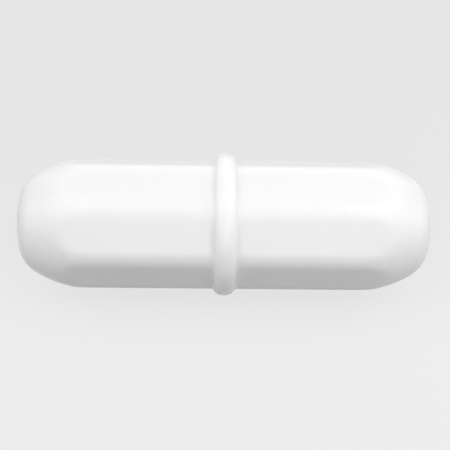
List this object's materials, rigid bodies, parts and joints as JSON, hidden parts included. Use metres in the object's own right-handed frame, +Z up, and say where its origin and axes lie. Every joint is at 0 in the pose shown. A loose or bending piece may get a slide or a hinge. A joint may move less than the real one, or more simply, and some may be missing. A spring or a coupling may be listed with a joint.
{
  "type": "magnetic stir bar",
  "caption": "Eight-sided magnetic stir bar: a white moulded jacket with rounded ends and an integral pivot ring, sealed over a rod magnet.",
  "frame": {"origin": "centre of the pivot ring, on the bar's axis and midway between its two tips", "axes": "+X along the bar's axis, +Z up, +Y across the bar"},
  "size_m": [0.0254, 0.0088, 0.0088],
  "materials": {
    "white_fluoropolymer": "white moulded fluoropolymer, smooth and waxy, with a soft gloss",
    "cast_magnet_alloy": "cast aluminium-nickel-cobalt magnet alloy, ground dull grey"
  },
  "bodies": {
    "root": {"jacket": "white_fluoropolymer", "magnet_core": "cast_magnet_alloy"}
  },
  "joints": []
}
